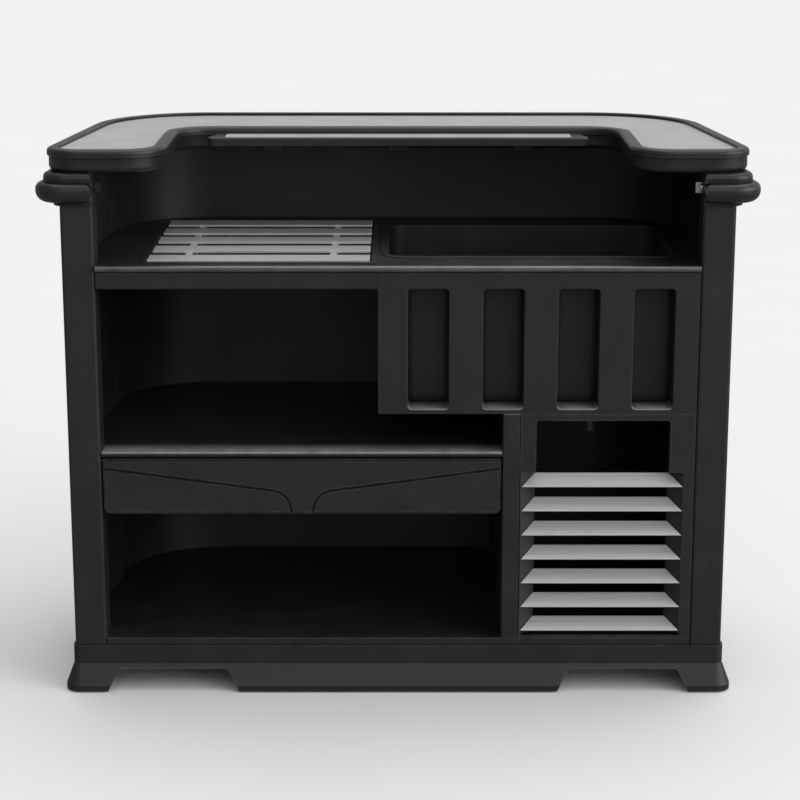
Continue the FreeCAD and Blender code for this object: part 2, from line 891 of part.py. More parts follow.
def outside(middle):
    """Whether a place stands clear of the body's own plan."""
    depth = middle.y - front.value
    gap = s.fit_gap.value + PICK_TOLERANCE
    beside = abs(middle.x) > half_width(depth).value + gap
    return beside or depth < -gap or depth > s.body_depth.value + gap


def make_cornice():
    """A torus under a flared neck, with a small bead below."""
    neck_low = counter_low - s.neck_height
    torus_low = neck_low - s.torus_height
    bead_low = torus_low - s.bead_height
    neck = ring("cornice_neck", (s.neck_out, s.neck_return, s.neck_front_round), neck_low, s.neck_height)
    plan = (s.cornice_out, s.cornice_return, s.cornice_front_round)
    torus = ring("cornice_torus", plan, torus_low, s.torus_height)
    bead = ring("cornice_bead", (s.bead_out, s.bead_return, s.bead_front_round), bead_low, s.bead_height)
    for body, radius, edge in ((neck, s.neck_round, counter_low), (torus, s.torus_top_round, neck_low),
                               (torus, s.torus_low_round, torus_low), (bead, s.bead_round, bead_low)):
        rounded(body, radius, level("z", edge, outside))
    keep(fuse("cornice", [torus, neck, bead]))


def bolt_spots(side_y, lean, x):
    """A bracket's two bolts: where each starts under its head, its axis and which way it points."""
    leg = s.bracket_leg
    thick = s.bracket_thick
    up = (x, at(side_y - lean * (leg + thick) / 2), counter_low - thick, "z", 1)
    across = (x, at(side_y - lean * thick), counter_low - (leg + thick) / 2, "y", lean)
    return up, across


def rear_brackets():
    """Each bracket on the customer panel: the wall's depth, which way it lies and the middle X."""
    pitch = half_width(s.body_depth) - s.bracket_inset
    return [(back_wall, 1, pitch * step) for step in (-1, 0, 1)]


def post_bracket(side):
    """The bracket behind one post, described like those on the customer panel."""
    middle = post_in + s.post_bracket_inset + s.bracket_width / 2
    return s.post_depth, -1, middle * side


def all_brackets():
    return rear_brackets() + [post_bracket(side) for side in (-1, 1)]


def lifting_bolts():
    return [bolt_spots(*spot)[0] for spot in all_brackets()]


def rear_bolts():
    return [bolt_spots(*spot)[1] for spot in rear_brackets()]


def post_bolt(side):
    return bolt_spots(*post_bracket(side))[1]


def along(start, length, way):
    """The lower end of a run that starts at a place and goes one way or the other."""
    return start if way > 0 else start - length


def bolt_bar(label, spot, radius, length, back=0):
    """A round bar along a bolt, from back behind the bolt's start."""
    x, y, z, axis, way = spot
    if axis == "z":
        return rod(label, (x, y, z - back), radius, length, "z")
    return rod(label, (x, along(y - back * way, length, way), z), radius, length, "y")


def bolt_length(spot):
    """A bolt's shank, longer into the thick counter than into a wall."""
    return s.bracket_thick + (s.counter_bolt_reach if spot[3] == "z" else s.wall_bolt_reach)


def bolt_hole(*spot):
    return bolt_bar("bolt_hole", spot, s.bolt_radius + s.bolt_gap, bolt_length(spot) + s.fit_gap)


def make_brackets():
    """Angle brackets between the panels or posts and the counter, and their bolts."""
    brackets = []
    bolts = []
    leg = s.bracket_leg
    thick = s.bracket_thick
    for wall, lean, x in all_brackets():
        back = at(wall)
        tip = at(wall - leg * lean)
        bend = at(wall - thick * lean)
        profile = [(back, counter_low), (tip, counter_low), (tip, counter_low - thick),
                   (bend, counter_low - thick), (bend, counter_low - leg), (back, counter_low - leg)]
        blank = prism("bracket_blank", "YZ_Plane", x - s.bracket_width / 2, profile, s.bracket_width)
        spots = bolt_spots(wall, lean, x)
        brackets.append(cut("bracket", blank, [bolt_hole(*spot) for spot in spots]))
        for spot in spots:
            shank = bolt_bar("bolt_shank", spot, s.bolt_radius, bolt_length(spot))
            rise = s.bolt_head_height
            head = bolt_bar("bolt_head", spot, s.bolt_head_radius, rise, rise)
            bolts.append(fuse("bracket_bolt", [shank, head]))
    keep(group("counter_brackets", brackets))
    keep(group("bracket_bolts", bolts))


def make_counter_locks():
    """Quarter-turn knobs on the inner faces of the posts, whose stems turn in the posts."""
    y = at(s.lock_depth)
    z = counter_low - s.lock_drop
    for name, side in (("left", -1), ("right", 1)):
        def run(label, start, radius, length):
            """A bar that starts at a distance into the post and comes out towards the middle."""
            near = post_in + start - length
            return rod(label, (near if side > 0 else -near - length, y, z), radius, length, "x")

        reach = s.lock_stem_length + s.lock_disc_thick
        stem = run("lock_stem", s.lock_stem_length, s.lock_stem_radius, reach)
        disc = run("lock_disc", -s.fit_gap, s.lock_disc_radius, s.lock_disc_thick)
        depth = s.lock_grip_height + s.lock_disc_thick
        tip = post_in - s.fit_gap - depth
        low = tip if side > 0 else -tip - depth
        grip = box("lock_grip", (low, y - s.lock_grip_width / 2, z - s.lock_grip_length / 2),
                   (low + depth, y + s.lock_grip_width / 2, z + s.lock_grip_length / 2))
        keep(fuse(f"{name}_counter_lock", [stem, disc, grip]))


def liner_corners(inset):
    """The plan of the ice bin's liner, drawn in by inset."""
    wall = s.jacket_wall + inset
    return rectangle((wall - s.niche_left, at(s.niche_panel_depth + wall)),
                     (jacket_right - wall, at(jacket_rear - wall)), s.jacket_round - wall)


def make_ice_bin():
    """A tub with a flange that lies on the worktop, in an open-topped insulating jacket."""
    top = worktop_top
    tub = prism("ice_bin_tub", "XY_Plane", liner_low, liner_corners(0), top - liner_low)
    add(tub, "XY_Plane", top, liner_corners(-s.liner_flange), s.liner_flange_thick)
    depth = top + s.liner_flange_thick - liner_low - s.liner_wall
    carve(tub, "XY_Plane", top + s.liner_flange_thick, liner_corners(s.liner_wall), depth)
    rounded(tub, s.liner_floor_round, level("z", liner_low + s.liner_wall))
    keep(cut("ice_bin_liner", tub, [drain_hole("liner_hole")]))
    rim = worktop_low - s.fit_gap
    outside_plan = liner_corners(-s.jacket_wall)
    jacket = prism("ice_bin_shell", "XY_Plane", niche_low, outside_plan, rim - niche_low)
    carve(jacket, "XY_Plane", rim, liner_corners(-s.fit_gap), rim - liner_low)
    keep(cut("ice_bin_jacket", jacket, [drain_hole("jacket_hole")]))


def drain_bar(label, radius, low, high):
    return rod(label, (drain_x, at(drain_depth), low), radius, high - low)


def drain_clearance(label, low, high):
    """A hole that the drain's pipe passes through."""
    return drain_bar(label, s.drain_pipe_radius + s.fit_gap, low - s.overrun, high + s.overrun)


def drain_hole(label):
    """The way through the bin's floor."""
    return drain_clearance(label, niche_low, liner_low)


def make_drain():
    """A flanged outlet with its seal and nut, and a quarter-turn valve below it."""
    floor = liner_low + s.liner_wall
    top = floor + s.drain_flange_thick
    pipe_end = valve_top - s.valve_socket
    flange = drain_bar("drain_flange", s.drain_flange_radius, floor, top)
    pipe = drain_bar("drain_pipe", s.drain_pipe_radius, pipe_end, floor)
    bore = drain_bar("drain_bore", s.drain_bore_radius, pipe_end - s.overrun, top + s.overrun)
    keep(cut("drain_fitting", fuse("drain_outlet", [flange, pipe]), [bore]))
    seal_low = niche_low - s.seal_thick
    washer = drain_bar("seal_disc", s.drain_flange_radius, seal_low, niche_low)
    keep(cut("drain_seal", washer, [drain_clearance("seal_hole", seal_low, niche_low)]))
    nut_low = seal_low - s.nut_height
    hexagon = doc.addObject("Part::Prism", "nut_blank")
    bind(hexagon, "Polygon", s.nut_side_count)
    bind(hexagon, "Circumradius", s.nut_flat_radius / cosine(HALF_TURN_ANGLE / s.nut_side_count))
    bind(hexagon, "Height", s.nut_height)
    place(hexagon, drain_x, at(drain_depth), nut_low)
    keep(cut("drain_nut", hexagon, [drain_clearance("nut_hole", nut_low, seal_low)]))
    make_valve(pipe_end)


def make_valve(pipe_end):
    """A valve body with a socket for the pipe, a spigot below and a lever on its boss."""
    low = valve_top - s.valve_height
    x = drain_x
    y = at(drain_depth)
    z = valve_top - s.lever_drop
    barrel = drain_bar("valve_barrel", s.valve_radius, low, valve_top)
    spigot = drain_bar("valve_spigot", s.spigot_radius, low - s.spigot_length, low)
    boss = rod("valve_boss", (x, y - s.boss_reach, z), s.boss_radius, s.boss_reach, "y")
    socket_radius = s.drain_pipe_radius + s.fit_gap
    socket = drain_bar("valve_socket", socket_radius, pipe_end - s.fit_gap, valve_top + s.overrun)
    bore = drain_bar("valve_bore", s.spigot_bore_radius, low - s.spigot_length - s.overrun, pipe_end)
    stem_start = (x, y - s.boss_reach - s.overrun, z)
    stem_room = s.overrun + s.lever_stem_length + s.fit_gap
    stem_bore = rod("stem_bore", stem_start, s.lever_stem_radius + s.running_gap, stem_room, "y")
    body = fuse("valve_casting", [barrel, spigot, boss])
    keep(cut("drain_valve_body", body, [socket, bore, stem_bore]))
    face = y - s.boss_reach - s.fit_gap
    hub = rod("lever_hub", (x, face - s.lever_thick, z), s.lever_hub_radius, s.lever_thick, "y")
    stem = rod("lever_stem", (x, face - s.lever_thick, z), s.lever_stem_radius,
               s.lever_thick + s.lever_stem_length, "y")
    arm = box("lever_arm", (x, face - s.lever_thick, z - s.lever_width / 2),
              (x + s.lever_length, face, z + s.lever_width / 2))
    keep(fuse("drain_valve_lever", [hub, stem, arm]))


def tray_corners(inset):
    """The plan of the drip tray, drawn in by inset."""
    return rectangle((tray_left + inset, at(s.tray_front + inset)),
                     (tray_right - inset, at(tray_rear - inset)), s.tray_round - inset)


def make_drip_tray():
    """A shallow pan hung by its flange in the worktop, with a lift-out grille of slats."""
    low = worktop_top - s.tray_depth
    tray = prism("drip_tray", "XY_Plane", low, tray_corners(0), s.tray_depth)
    add(tray, "XY_Plane", worktop_top, tray_corners(-s.tray_flange), s.tray_flange_thick)
    top = worktop_top + s.tray_flange_thick
    carve(tray, "XY_Plane", top, tray_corners(s.tray_wall), top - low - s.tray_wall)
    keep(tray)
    floor = low + s.tray_wall
    slat_top = top + s.slat_proud
    slat_low = slat_top - s.slat_thick
    edge = s.tray_wall + s.grille_gap
    left = tray_left + edge
    right = tray_right - edge
    near = at(s.tray_front + s.slat_end_gap)
    far = at(tray_rear - s.slat_end_gap)
    pitch = (far - near - s.slat_width) / (s.slat_count - 1)
    pieces = []
    for step in range(SIZES["slat_count"]):
        start = near + pitch * step
        pieces.append(box("slat", (left, start, slat_low), (right, start + s.slat_width, slat_top)))
    for start in (left + s.grille_rail_inset, right - s.grille_rail_inset - s.grille_rail_width):
        pieces.append(box("grille_rail", (start, near, floor), (start + s.grille_rail_width, far, slat_low)))
    keep(group("drain_grille", pieces))


def make_drawer_front():
    """A front with three raised fields: a funnel between two lower corners, parted by grooves."""
    left = s.drawer_gap - post_in
    right = s.divider_offset - s.drawer_gap
    low = drawer_low
    high = drawer_high
    face = at(s.relief_height)
    plate = [
        (left, low, s.drawer_low_round),
        (right, low, s.drawer_low_round),
        (right, high, s.drawer_top_round),
        (left, high, s.drawer_top_round),
    ]
    thick = s.drawer_front_thick
    body = prism("drawer_front_blank", "XZ_Plane", face + thick, plate, thick)
    margin = s.relief_margin
    middle = (left + right) / 2
    reach = (right - left) / 2 - margin
    edge = high - s.funnel_edge_drop
    throat = low + s.funnel_throat_height
    funnel = [
        (reach, high - margin),
        (reach, edge),
        (s.funnel_throat_half, throat, s.relief_round),
        (s.funnel_throat_half, low + margin),
    ]
    groove = s.relief_groove
    corner_field = [
        (reach, edge - groove),
        (s.funnel_throat_half + groove, throat - groove, s.relief_round - groove),
        (s.funnel_throat_half + groove, low + margin),
        (reach, low + margin, s.drawer_low_round - margin),
    ]

    def moved(corners):
        return [(middle + corner[0], *corner[1:]) for corner in corners]

    for field in (both_sides(funnel), corner_field, mirrored(corner_field, -1)):
        add(body, "XZ_Plane", face, moved(field), s.relief_height)
    keep(cut("drawer_front", body, drawer_shanks("front_hole", s.bolt_gap)))


def drawer_bars(label, start, radius, length):
    """Round bars on the axes of the screws that hold the front on the drawer's box."""
    z = box_low + s.box_height / 2
    first = box_left + s.drawer_screw_margin
    pitch = (box_right - s.drawer_screw_margin - first) / (s.drawer_screw_count - 1)
    places = [first + pitch * step for step in range(SIZES["drawer_screw_count"])]
    return [rod(label, (x, at(start), z), radius, length, "y") for x in places]


def drawer_shanks(label, slack):
    """The screws' shanks, or their holes with some slack."""
    start = box_near - s.drawer_screw_reach
    return drawer_bars(label, start, s.drawer_screw_radius + slack, s.drawer_screw_reach + s.box_wall)


def make_drawer_box():
    """An open box with a rail on each side, screwed to the front from inside."""
    plan = rectangle((box_left, at(box_near)), (box_right, at(box_far)))
    body = prism("drawer_tub", "XY_Plane", box_low, plan, s.box_height)
    wall = s.box_wall
    inside = rectangle((box_left + wall, at(box_near + wall)), (box_right - wall, at(box_far - wall)), wall)
    carve(body, "XY_Plane", box_low + s.box_height, inside, s.box_height - s.box_floor)
    keep(cut("drawer_box", body, drawer_shanks("box_hole", s.bolt_gap)))
    shanks = drawer_shanks("screw_shank", 0)
    head_height = s.drawer_screw_head_height
    heads = drawer_bars("screw_head", box_near + wall, s.drawer_screw_head_radius, head_height)
    keep(group("drawer_screws", [fuse("drawer_screw", list(pair)) for pair in zip(shanks, heads)]))
    low = groove_low + s.fit_gap
    high = groove_low + s.groove_height - s.fit_gap
    near = at(s.rail_start)
    far = at(box_far - s.rail_end_gap)
    rails = [box("drawer_rail", (start, near, low), (start + s.rail_depth, far, high))
             for start in (box_left - s.rail_depth, box_right)]
    keep(group("drawer_rails", rails))


def make_drawer_runners():
    """Grooved blocks under the shelf, on the side panel and the divider, that carry the drawer's rails."""
    near = s.post_depth + s.fit_gap
    far = panel_split - s.runner_end_gap
    inside = -s.panel_thick
    low = shelf_low - s.runner_height
    edge = box_left - s.fit_gap
    right_edge = box_right + s.fit_gap
    left_plan = [(-half_width(near, inside), at(near)), (edge, at(near)), (edge, at(far)),
                 (-half_width(far, inside), at(far))]
    right_plan = rectangle((right_edge, at(near)), (s.divider_offset, at(far)))
    left_groove = (edge - s.groove_depth, edge + s.overrun)
    right_groove = (right_edge - s.overrun, right_edge + s.groove_depth)
    for name, plan, groove in (("left", left_plan, left_groove), ("right", right_plan, right_groove)):
        body = prism(f"{name}_drawer_runner", "XY_Plane", low, plan, s.runner_height)
        channel = rectangle((groove[0], groove_low), (groove[1], groove_low + s.groove_height))
        carve(body, "XZ_Plane", at(near - s.overrun), channel, far - near + s.overrun * 2)
        keep(body)


def write_parts():
    """Check the whole document, then write one file for each node."""
    doc.recompute()
    failed = [thing.Label for thing in doc.Objects if {"Invalid", "Error"} & set(thing.State)]
    broken = [thing.Label for thing in nodes if thing.Shape.isNull() or not thing.Shape.isValid()]
    if failed or broken:
        raise RuntimeError(f"failed objects: {failed}; broken shapes: {broken}")
    os.makedirs("parts", exist_ok=True)
    for thing in nodes:
        thing.Shape.exportStep(f"parts/{thing.Label}.step")
        print(thing.Label, len(thing.Shape.Solids), round(thing.Shape.Volume))


make_base()
make_foot_pads()
make_panels()
make_posts()
make_divider()
make_decks()
make_worktop_front()
make_bottle_shelf()
make_niche_panel()
make_vent_frame()
make_louvres()
make_counter()
make_service_ledge()
make_cornice()
make_brackets()
make_counter_locks()
make_ice_bin()
make_drain()
make_drip_tray()
make_drawer_front()
make_drawer_box()
make_drawer_runners()
write_parts()
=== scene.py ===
import json
import math

import bpy
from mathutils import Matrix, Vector

# A portable bar, dressed and lit. Metres, +Z up, the operator on the -Y side.

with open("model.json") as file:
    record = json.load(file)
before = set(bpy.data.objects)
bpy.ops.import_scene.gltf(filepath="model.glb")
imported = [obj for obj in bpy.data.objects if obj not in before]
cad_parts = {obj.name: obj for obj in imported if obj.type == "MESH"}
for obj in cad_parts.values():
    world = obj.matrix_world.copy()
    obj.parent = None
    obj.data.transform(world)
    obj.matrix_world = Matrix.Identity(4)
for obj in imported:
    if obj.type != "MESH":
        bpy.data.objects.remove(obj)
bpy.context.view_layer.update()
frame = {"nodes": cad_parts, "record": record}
MM = 0.001

# The camera stands where the photograph's outlines put it
CAMERA_PLACE = (0.004, -4.713, 1.725)
CAMERA_DOWN_DEGREES = 14
LENS_MM = 99
SENSOR_MM = 36

# Each lamp has the direction that it stands in, its width in degrees and its strength
LAMPS = {
    "overhead": ((0.1, 0.25, 1), 60, 1.2),
    "key": ((1, -0.5, 0.25), 60, 1.7),
    "front": ((0.1, -1, 0.6), 45, 0.3),
}

# The surround is white to the camera; the light that it gives grows from left to right
SURROUND_SEEN = 0.97
SURROUND_LEFT = 0.2
SURROUND_RIGHT = 0.65
FLOOR_HALF = 40

# Dust and a painted highlight lighten the black plastic's level edges, more and more between these distances
# from the front
DUST_HIGHLIGHT_START_MM = 68
DUST_HIGHLIGHT_FULL_MM = 18

# How far the rubbed edges and the painted shade in corners reach
RUBBED_EDGE_MM = 5
PAINTED_SHADE_MM = 14

# How the sharp edges are found and rounded
JOINED_MM = 0.02
FLAT_DEGREES = 0.4
SHARP_DEGREES = 32
ROUND_STEPS = 3


def linear(colour):
    """An sRGB hex colour as the linear colour that a shader takes."""
    shares = [int(colour[i:i + 2], 16) / 255 for i in (1, 3, 5)]
    return [s / 12.92 if s <= 0.04045 else ((s + 0.055) / 1.055) ** 2.4 for s in shares] + [1]


def per_metre(size_mm):
    """A pattern's scale from the size of one of its features."""
    return 1 / (size_mm * MM)


def reach(node):
    """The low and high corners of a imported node."""
    places = [vertex.co for vertex in frame["nodes"][node].data.vertices]
    return Vector(map(min, zip(*places))), Vector(map(max, zip(*places)))


def add(tree, kind, inputs, stops=(), **settings):
    """Add a shader node with its settings.

    An input takes a value, a socket to be linked, or a node whose first output is linked.
    A colour ramp also takes its stops: shares of its length with hex colours.
    """
    made = tree.nodes.new(f"ShaderNode{kind}")
    for name, value in settings.items():
        setattr(made, name, value)
    for name, value in inputs.items():
        if isinstance(value, bpy.types.Node):
            value = value.outputs[0]
        if isinstance(value, bpy.types.NodeSocket):
            tree.links.new(value, made.inputs[name])
        else:
            made.inputs[name].default_value = value
    if stops:
        bands = made.color_ramp.elements
        for share, _ in stops[1:-1]:
            bands.new(share)
        for band, (share, colour) in zip(bands, stops):
            band.position = share
            band.color = linear(colour)
    return made


def new_material(name):
    """An empty material, and the place on the object that its patterns are drawn by."""
    material = bpy.data.materials.new(name)
    material.use_nodes = True
    tree = material.node_tree
    tree.nodes.clear()
    place = add(tree, "TexCoord", {}).outputs["Object"]
    return material, tree, place


def coat(tree, inputs):
    """End a material with its shader."""
    shader = add(tree, "BsdfPrincipled", inputs)
    add(tree, "OutputMaterial", {"Surface": shader})


def worn_edges(tree, place):
    """How rubbed a spot is: most along edges that stand out, in patches."""
    soft = add(tree, "Bevel", {"Radius": RUBBED_EDGE_MM * MM}, samples=6)
    hard = add(tree, "NewGeometry", {}).outputs["Normal"]
    # 1 on flat stretches, less where the rounded face turns away from the true one
    same = add(tree, "VectorMath", {0: soft, 1: hard}, operation="DOT_PRODUCT").outputs["Value"]
    edge = add(tree, "MapRange", {"Value": same, "From Min": 0.995, "From Max": 0.8})
    patch = add(tree, "TexNoise", {"Vector": place, "Scale": per_metre(35), "Detail": 5, "Roughness": 0.7})
    held = add(tree, "MapRange", {"Value": patch, "From Min": 0.35, "From Max": 0.7})
    return add(tree, "Math", {0: edge, 1: held}, operation="MULTIPLY")


def ledge_dust_and_highlight(tree, place):
    """How much dust and painted highlight lighten a spot, in patches: the shelf's nosing and the niches'
    sills, which look up.
    """
    shelf_low, _ = reach("bottle_shelf")
    sill_low, _ = reach("bottle_niche_panel")
    normal = add(tree, "NewGeometry", {}).outputs["Normal"]
    # The painted highlight and the dust go on faces that look up
    upward = add(tree, "SeparateXYZ", {"Vector": normal}).outputs["Z"]
    level = add(tree, "MapRange", {"Value": upward, "From Min": 0.15, "From Max": 0.6})
    spot = add(tree, "SeparateXYZ", {"Vector": place}).outputs
    near = add(tree, "MapRange", {"Value": spot["Y"], "From Min": shelf_low.y + DUST_HIGHLIGHT_START_MM * MM,
                                  "From Max": shelf_low.y + DUST_HIGHLIGHT_FULL_MM * MM})
    # From the shelf's underside to as far above the niche panel's foot
    beside = add(tree, "Math", {0: spot["Z"], 1: sill_low.z, 2: sill_low.z - shelf_low.z},
                 operation="COMPARE")
    patch = add(tree, "TexNoise", {"Vector": place, "Scale": per_metre(40), "Detail": 6, "Roughness": 0.7})
    share = add(tree, "MapRange", {"Value": patch, "From Min": 0.25, "From Max": 0.6, "To Min": 0.45})
    for limit in (near, beside, share):
        level = add(tree, "Math", {0: level, 1: limit}, operation="MULTIPLY")
    return level


def outside_painted_shade(tree):
    """How open a spot is: 0 in the corners and grooves, which get painted shade, 1 on open faces."""
    air = add(tree, "AmbientOcclusion", {"Distance": PAINTED_SHADE_MM * MM}, samples=8, only_local=True)
    return add(tree, "MapRange", {"Value": air.outputs["AO"], "From Min": 0.55, "From Max": 0.95})


def moulded_polyethylene(name, smooth, rough):
    """Black polyethylene from a rotating mould: a satin skin with a fine pebble and slow waves.

    Its edges are rubbed grey, its ledges lightened with dust and a painted highlight, and its corners and
    grooves darkened with painted shade.
    """
    material, tree, place = new_material(name)
    # The pebble of the mould is under a millimetre; it is drawn coarser, so that it shows.
    pebble = add(tree, "TexNoise", {"Vector": place, "Scale": per_metre(2.4), "Detail": 3})
    wave = add(tree, "TexNoise", {"Vector": place, "Scale": per_metre(230), "Detail": 1})
    handling = add(tree, "TexNoise", {"Vector": place, "Scale": per_metre(85), "Detail": 7,
                                      "Roughness": 0.68})
    skin = add(tree, "ValToRGB", {"Fac": handling},
               stops=[(0.3, "#1E1E20"), (0.55, "#232325"), (0.8, "#2C2C2E")])
    rubbed = add(tree, "MixRGB", {"Fac": worn_edges(tree, place), "Color1": skin,
                                  "Color2": linear("#5A5A5C")})
    # Dust and a painted highlight: the level ledges are mixed towards a pale grey
    dusty_highlit = add(tree, "MixRGB", {"Fac": ledge_dust_and_highlight(tree, place), "Color1": rubbed,
                                  "Color2": linear("#98979A")})
    # Painted shade: corners and grooves are darkened towards near-black, and their reflection is lowered
    clear = outside_painted_shade(tree)
    colour = add(tree, "MixRGB", {"Fac": clear, "Color1": linear("#0E0E0F"), "Color2": dusty_highlit})
    gloss = add(tree, "MapRange", {"Value": clear, "To Min": 0.15, "To Max": 0.5})
    sheen = add(tree, "MapRange", {"Value": handling, "From Min": 0.3, "From Max": 0.8,
                                   "To Min": smooth, "To Max": rough})
    slow = add(tree, "Bump", {"Height": wave, "Strength": 0.4, "Distance": 4 * MM})
    fine = add(tree, "Bump", {"Height": pebble, "Strength": 0.2, "Distance": 0.3 * MM, "Normal": slow})
    coat(tree, {"Base Color": colour, "Roughness": sheen, "Specular IOR Level": gloss, "IOR": 1.51,
                "Normal": fine})
    return material


def counter_laminate():
    """Light grey laminate: a flat satin sheet with a fine printed fleck and a few wiped smears."""
    material, tree, place = new_material("counter_laminate")
    fleck = add(tree, "TexVoronoi", {"Vector": place, "Scale": per_metre(2.8)})
    cloud = add(tree, "TexNoise", {"Vector": place, "Scale": per_metre(70), "Detail": 5})
    print_depth = add(tree, "Math", {0: fleck, 1: cloud}, operation="MULTIPLY")
    colour = add(tree, "ValToRGB", {"Fac": print_depth},
                 stops=[(0.0, "#A2A3A5"), (0.25, "#B4B5B6"), (0.6, "#C1C2C2")])
    wiped = add(tree, "MapRange", {"Value": cloud, "From Min": 0.3, "From Max": 0.7,
                                   "To Min": 0.4, "To Max": 0.54})
    skin = add(tree, "Bump", {"Height": fleck, "Strength": 0.06, "Distance": 0.1 * MM})
    coat(tree, {"Base Color": colour, "Roughness": wiped, "Normal": skin})
    return material


def brushed_metal(name, dark, light, roughness):
    """A metal drawn over a belt along X: fine lines that spread the light across their length."""
    material, tree, place = new_material(name)
    # The belt's lines are a tenth of a millimetre apart; they are drawn coarser, so that they show.
    along = add(tree, "Mapping", {"Vector": place, "Scale": (per_metre(180), per_metre(1.1), per_metre(1.1))})
    lines = add(tree, "TexNoise", {"Vector": along, "Scale": 1, "Detail": 3})
    cloud = add(tree, "TexNoise", {"Vector": place, "Scale": per_metre(45), "Detail": 4})
    both = add(tree, "Math", {0: lines, 1: cloud}, operation="ADD")
    colour = add(tree, "ValToRGB", {"Fac": both}, stops=[(0.6, dark), (1.0, light)])
    rough = add(tree, "MapRange", {"Value": cloud, "From Min": 0.3, "From Max": 0.7,
                                   "To Min": roughness - 0.06, "To Max": roughness + 0.08})
    grain = add(tree, "Bump", {"Height": lines, "Strength": 0.12, "Distance": 0.05 * MM})
    coat(tree, {"Base Color": colour, "Roughness": rough, "Metallic": 1, "Normal": grain})
    return material


def silver_powder_coat():
    """Silver powder coat on aluminium strip: a pale grey satin with a soft fleck, streaked along X."""
    material, tree, place = new_material("silver_powder_coat")
    along = add(tree, "Mapping", {"Vector": place, "Scale": (per_metre(220), per_metre(4), per_metre(4))})
    streak = add(tree, "TexNoise", {"Vector": along, "Scale": 1, "Detail": 4})
    # The coat's pebble is about half a millimetre; it is drawn coarser, so that it shows.
    peel = add(tree, "TexNoise", {"Vector": place, "Scale": per_metre(1.6), "Detail": 2})
    both = add(tree, "Math", {0: streak, 1: peel}, operation="ADD")
    colour = add(tree, "ValToRGB", {"Fac": both}, stops=[(0.7, "#B0AFB2"), (1.0, "#C8C7CA")])
    rough = add(tree, "MapRange", {"Value": streak, "From Min": 0.3, "From Max": 0.7,
                                   "To Min": 0.36, "To Max": 0.5})
    skin = add(tree, "Bump", {"Height": peel, "Strength": 0.15, "Distance": 0.12 * MM})
    coat(tree, {"Base Color": colour, "Roughness": rough, "Metallic": 0.25, "Normal": skin})
    return material


def zinc_plate():
    """Bright zinc plate on pressed steel: pale, with a faint spangle."""
    material, tree, place = new_material("zinc_plate")
    spangle = add(tree, "TexVoronoi", {"Vector": place, "Scale": per_metre(3)})
    colour = add(tree, "ValToRGB", {"Fac": spangle.outputs["Color"]},
                 stops=[(0.0, "#9FA2A6"), (1.0, "#BCBEC1")])
    rough = add(tree, "MapRange", {"Value": spangle, "To Min": 0.3, "To Max": 0.42})
    coat(tree, {"Base Color": colour, "Roughness": rough, "Metallic": 1})
    return material


def moulded_trim(name, dark, light, roughness, grain_mm):
    """A small moulded, coated or cut piece of one colour: slightly cloudy, with a fine grain."""
    material, tree, place = new_material(name)
    grain = add(tree, "TexNoise", {"Vector": place, "Scale": per_metre(grain_mm), "Detail": 4})
    cloud = add(tree, "TexNoise", {"Vector": place, "Scale": per_metre(25), "Detail": 4})
    colour = add(tree, "ValToRGB", {"Fac": cloud}, stops=[(0.3, dark), (0.7, light)])
    rough = add(tree, "MapRange", {"Value": cloud, "To Min": roughness - 0.08, "To Max": roughness + 0.08})
    skin = add(tree, "Bump", {"Height": grain, "Strength": 0.2, "Distance": 0.15 * MM})
    coat(tree, {"Base Color": colour, "Roughness": rough, "Normal": skin})
    return material


# Which finish each of the record's slots has, and the plastic that hands have polished
finishes = {
    "black_polyethylene": moulded_polyethylene("moulded_polyethylene", 0.4, 0.56),
    "handled_polyethylene": moulded_polyethylene("handled_polyethylene", 0.3, 0.44),
    "counter_laminate": counter_laminate(),
    "anodised_aluminium": brushed_metal("grey_anodised_aluminium", "#606264", "#787A7C", 0.42),
    "silver_coated_aluminium": silver_powder_coat(),
    "black_coated_steel": moulded_trim("black_powder_coat", "#161616", "#202020", 0.5, 0.9),
    "stainless_steel": brushed_metal("brushed_stainless_steel", "#A3A3A1", "#BFBEBB", 0.3),
    "zinc_plated_steel": zinc_plate(),
    "black_rubber": moulded_trim("moulded_rubber", "#141414", "#1E1E1E", 0.75, 1.2),
    "white_nylon": moulded_trim("natural_nylon", "#C4C2B9", "#D6D4CC", 0.42, 2),
    "grey_plastic": moulded_trim("grey_abs", "#5B5C5F", "#67686B", 0.4, 1.5),
    "lever_plastic": moulded_trim("red_abs", "#971616", "#AE1C1C", 0.35, 1.5),
    "insulation": moulded_trim("closed_cell_foam", "#29292A", "#363637", 0.88, 3),
}

# Nodes with another finish than their slot's: hands polish the counter's edge, and what the photograph shows
# dark under the counter and on the left post is black
node_finish = {
    "counter_top": "handled_polyethylene",
    "cornice": "handled_polyethylene",
    "service_ledge": "handled_polyethylene",
    "counter_brackets": "black_coated_steel",
    "bracket_bolts": "black_coated_steel",
    "left_counter_lock": "black_rubber",
}

# The radius of a piece's edges in millimetres, by its slot
slot_edge_mm = {
    "black_polyethylene": 1.4,
    "counter_laminate": 0.5,
    "anodised_aluminium": 0.8,
    "silver_coated_aluminium": 0.6,
    "black_coated_steel": 0.5,
    "stainless_steel": 0.6,
    "zinc_plated_steel": 0.5,
    "black_rubber": 0.6,
    "white_nylon": 1.0,
    "grey_plastic": 0.8,
    "lever_plastic": 0.8,
    "insulation": 2.0,
}

# Nodes that keep their edges as they are: rounded already, or the drawer's crisp relief
crisp_nodes = ("cornice", "vent_frame", "base_plinth", "counter_top", "drawer_front")


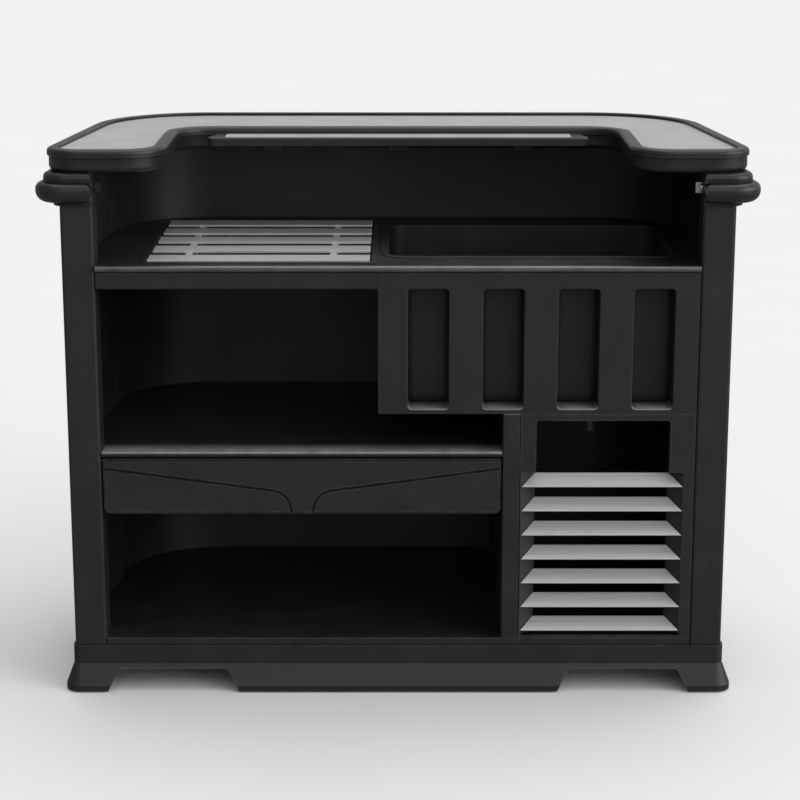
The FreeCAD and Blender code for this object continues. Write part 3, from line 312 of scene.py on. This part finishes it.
def soften(piece, radius_mm):
    """Round a piece's sharp edges, as its mould or a file leaves them."""
    weld = piece.modifiers.new("joined_faces", "WELD")
    weld.merge_threshold = JOINED_MM * MM
    flat = piece.modifiers.new("whole_faces", "DECIMATE")
    flat.decimate_type = "DISSOLVE"
    flat.angle_limit = math.radians(FLAT_DEGREES)
    edge = piece.modifiers.new("edge_radius", "BEVEL")
    edge.width = radius_mm * MM
    edge.segments = ROUND_STEPS
    edge.limit_method = "ANGLE"
    edge.angle_limit = math.radians(SHARP_DEGREES)
    edge.use_clamp_overlap = False
    shade = piece.modifiers.new("even_shading", "WEIGHTED_NORMAL")
    shade.keep_sharp = False


def dress():
    """Give every node its finish and its edges."""
    for part in frame["record"]["subparts"]:
        node = part["node"]
        slot = part["material_slot"]
        piece = frame["nodes"][node]
        piece.data.materials.clear()
        piece.data.materials.append(finishes[node_finish.get(node, slot)])
        if node not in crisp_nodes:
            soften(piece, slot_edge_mm[slot])


def make_floor():
    """A plain floor that reaches the backdrop: pale to the eye, grey to what is mirrored in the bar."""
    corners = [(x, y, 0) for x, y in ((-1, -1), (1, -1), (1, 1), (-1, 1))]
    mesh = bpy.data.meshes.new("floor")
    mesh.from_pydata([FLOOR_HALF * Vector(corner) for corner in corners], [], [(0, 1, 2, 3)])
    floor = bpy.data.objects.new("floor", mesh)
    bpy.context.scene.collection.objects.link(floor)
    material, tree, place = new_material("floor_paint")
    cloud = add(tree, "TexNoise", {"Vector": place, "Scale": per_metre(650), "Detail": 2})
    pale = add(tree, "ValToRGB", {"Fac": cloud}, stops=[(0.3, "#F5F5F4"), (0.7, "#F7F7F6")])
    seen = add(tree, "LightPath", {}).outputs["Is Camera Ray"]
    colour = add(tree, "MixRGB", {"Fac": seen, "Color1": linear("#888887"), "Color2": pale})
    coat(tree, {"Base Color": colour, "Roughness": 0.9, "Specular IOR Level": 0.1})
    mesh.materials.append(material)


def make_backdrop():
    """A plain white surround for the eye; for light and reflections a soft grey one, lighter on the right."""
    world = bpy.data.worlds.new("studio")
    bpy.context.scene.world = world
    world.use_nodes = True
    tree = world.node_tree
    tree.nodes.clear()
    seen = add(tree, "LightPath", {}).outputs["Is Camera Ray"]
    toward = add(tree, "SeparateXYZ", {"Vector": add(tree, "TexCoord", {}).outputs["Generated"]})
    soft = add(tree, "MapRange", {"Value": toward.outputs["X"], "From Min": -1, "From Max": 1,
                                  "To Min": SURROUND_LEFT, "To Max": SURROUND_RIGHT})
    glow = add(tree, "MapRange", {"Value": seen, "To Min": soft, "To Max": SURROUND_SEEN})
    sky = add(tree, "Background", {"Color": linear("#FFFFFF"), "Strength": glow})
    add(tree, "OutputWorld", {"Surface": sky})


def make_lamp(name, toward, width_degrees, strength):
    """A broad, far-off soft lamp that stands in a direction."""
    data = bpy.data.lights.new(name, "SUN")
    data.angle = math.radians(width_degrees)
    data.energy = strength
    lamp = bpy.data.objects.new(name, data)
    lamp.rotation_euler = Vector(toward).to_track_quat("Z", "Y").to_euler()
    bpy.context.scene.collection.objects.link(lamp)


def make_camera():
    """Seen from the operator's side, a little above the counter."""
    data = bpy.data.cameras.new("camera")
    data.lens = LENS_MM
    data.sensor_width = SENSOR_MM
    camera = bpy.data.objects.new("camera", data)
    camera.location = CAMERA_PLACE
    camera.rotation_euler = (math.radians(90 - CAMERA_DOWN_DEGREES), 0, 0)
    bpy.context.scene.collection.objects.link(camera)
    bpy.context.scene.camera = camera


dress()
make_floor()
make_backdrop()
for lamp_name, (stands_toward, lamp_width, lamp_strength) in LAMPS.items():
    make_lamp(lamp_name, stands_toward, lamp_width, lamp_strength)
make_camera()
bpy.context.scene.view_settings.view_transform = "Standard"
